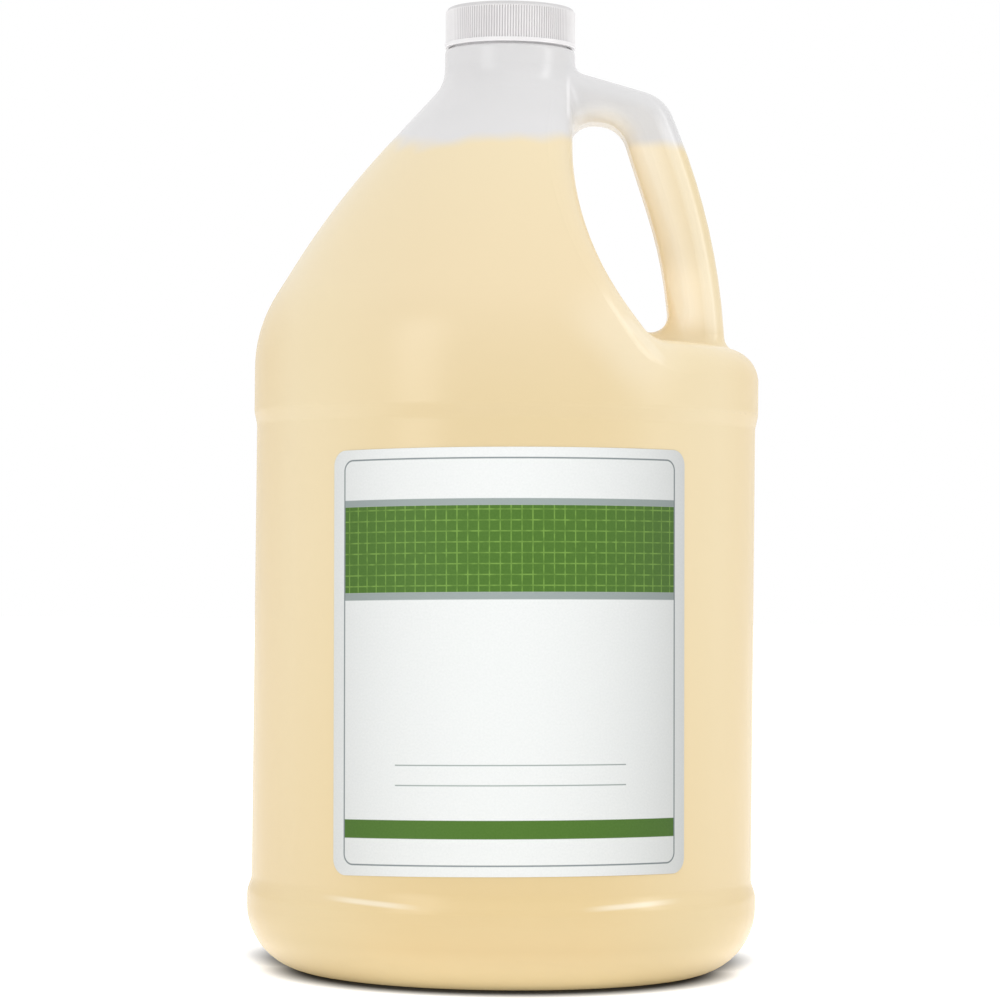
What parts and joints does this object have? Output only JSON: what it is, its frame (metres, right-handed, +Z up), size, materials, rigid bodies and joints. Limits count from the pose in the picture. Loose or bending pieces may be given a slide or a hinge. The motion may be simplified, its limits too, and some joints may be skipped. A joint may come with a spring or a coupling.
{
  "type": "oil jug",
  "caption": "Round translucent one-gallon jug of oil with a hollow side handle, a front label and a ribbed screw cap that turns off its threaded neck.",
  "frame": {"origin": "centre of the base, on the plane that the jug stands on", "axes": "+Z up along the neck, +X towards the handle, -Y towards the front label"},
  "size_m": [0.154, 0.154, 0.2921],
  "materials": {
    "natural_hdpe": "natural blow-moulded polyethylene, milky and half see-through, satin skin",
    "white_polypropylene": "white injection-moulded polypropylene, satin",
    "liner_foam": "white foamed polyethylene wad",
    "pale_oil": "clear pale yellow oil",
    "label_paper": "coated white paper, printed in grey and green"
  },
  "bodies": {
    "jug": {"bottle": "natural_hdpe", "oil": "pale_oil", "front_label": "label_paper"},
    "liner": {"cap_liner": "liner_foam"},
    "cap": {"cap": "white_polypropylene"}
  },
  "joints": [
    {"name": "liner_lift", "type": "slide", "parent": "jug", "child": "liner", "axis": [0, 0, 1], "range_m": [0, 0.01275]},
    {"name": "cap_turn", "type": "hinge", "parent": "liner", "child": "cap", "pos_m": [0, 0, 0.286], "axis": [0, 0, 1], "range_deg": [0, 1080]}
  ],
  "couplings": [
    {"joint": "liner_lift", "follows": "cap_turn", "m_per_rad": 0.0006737}
  ]
}
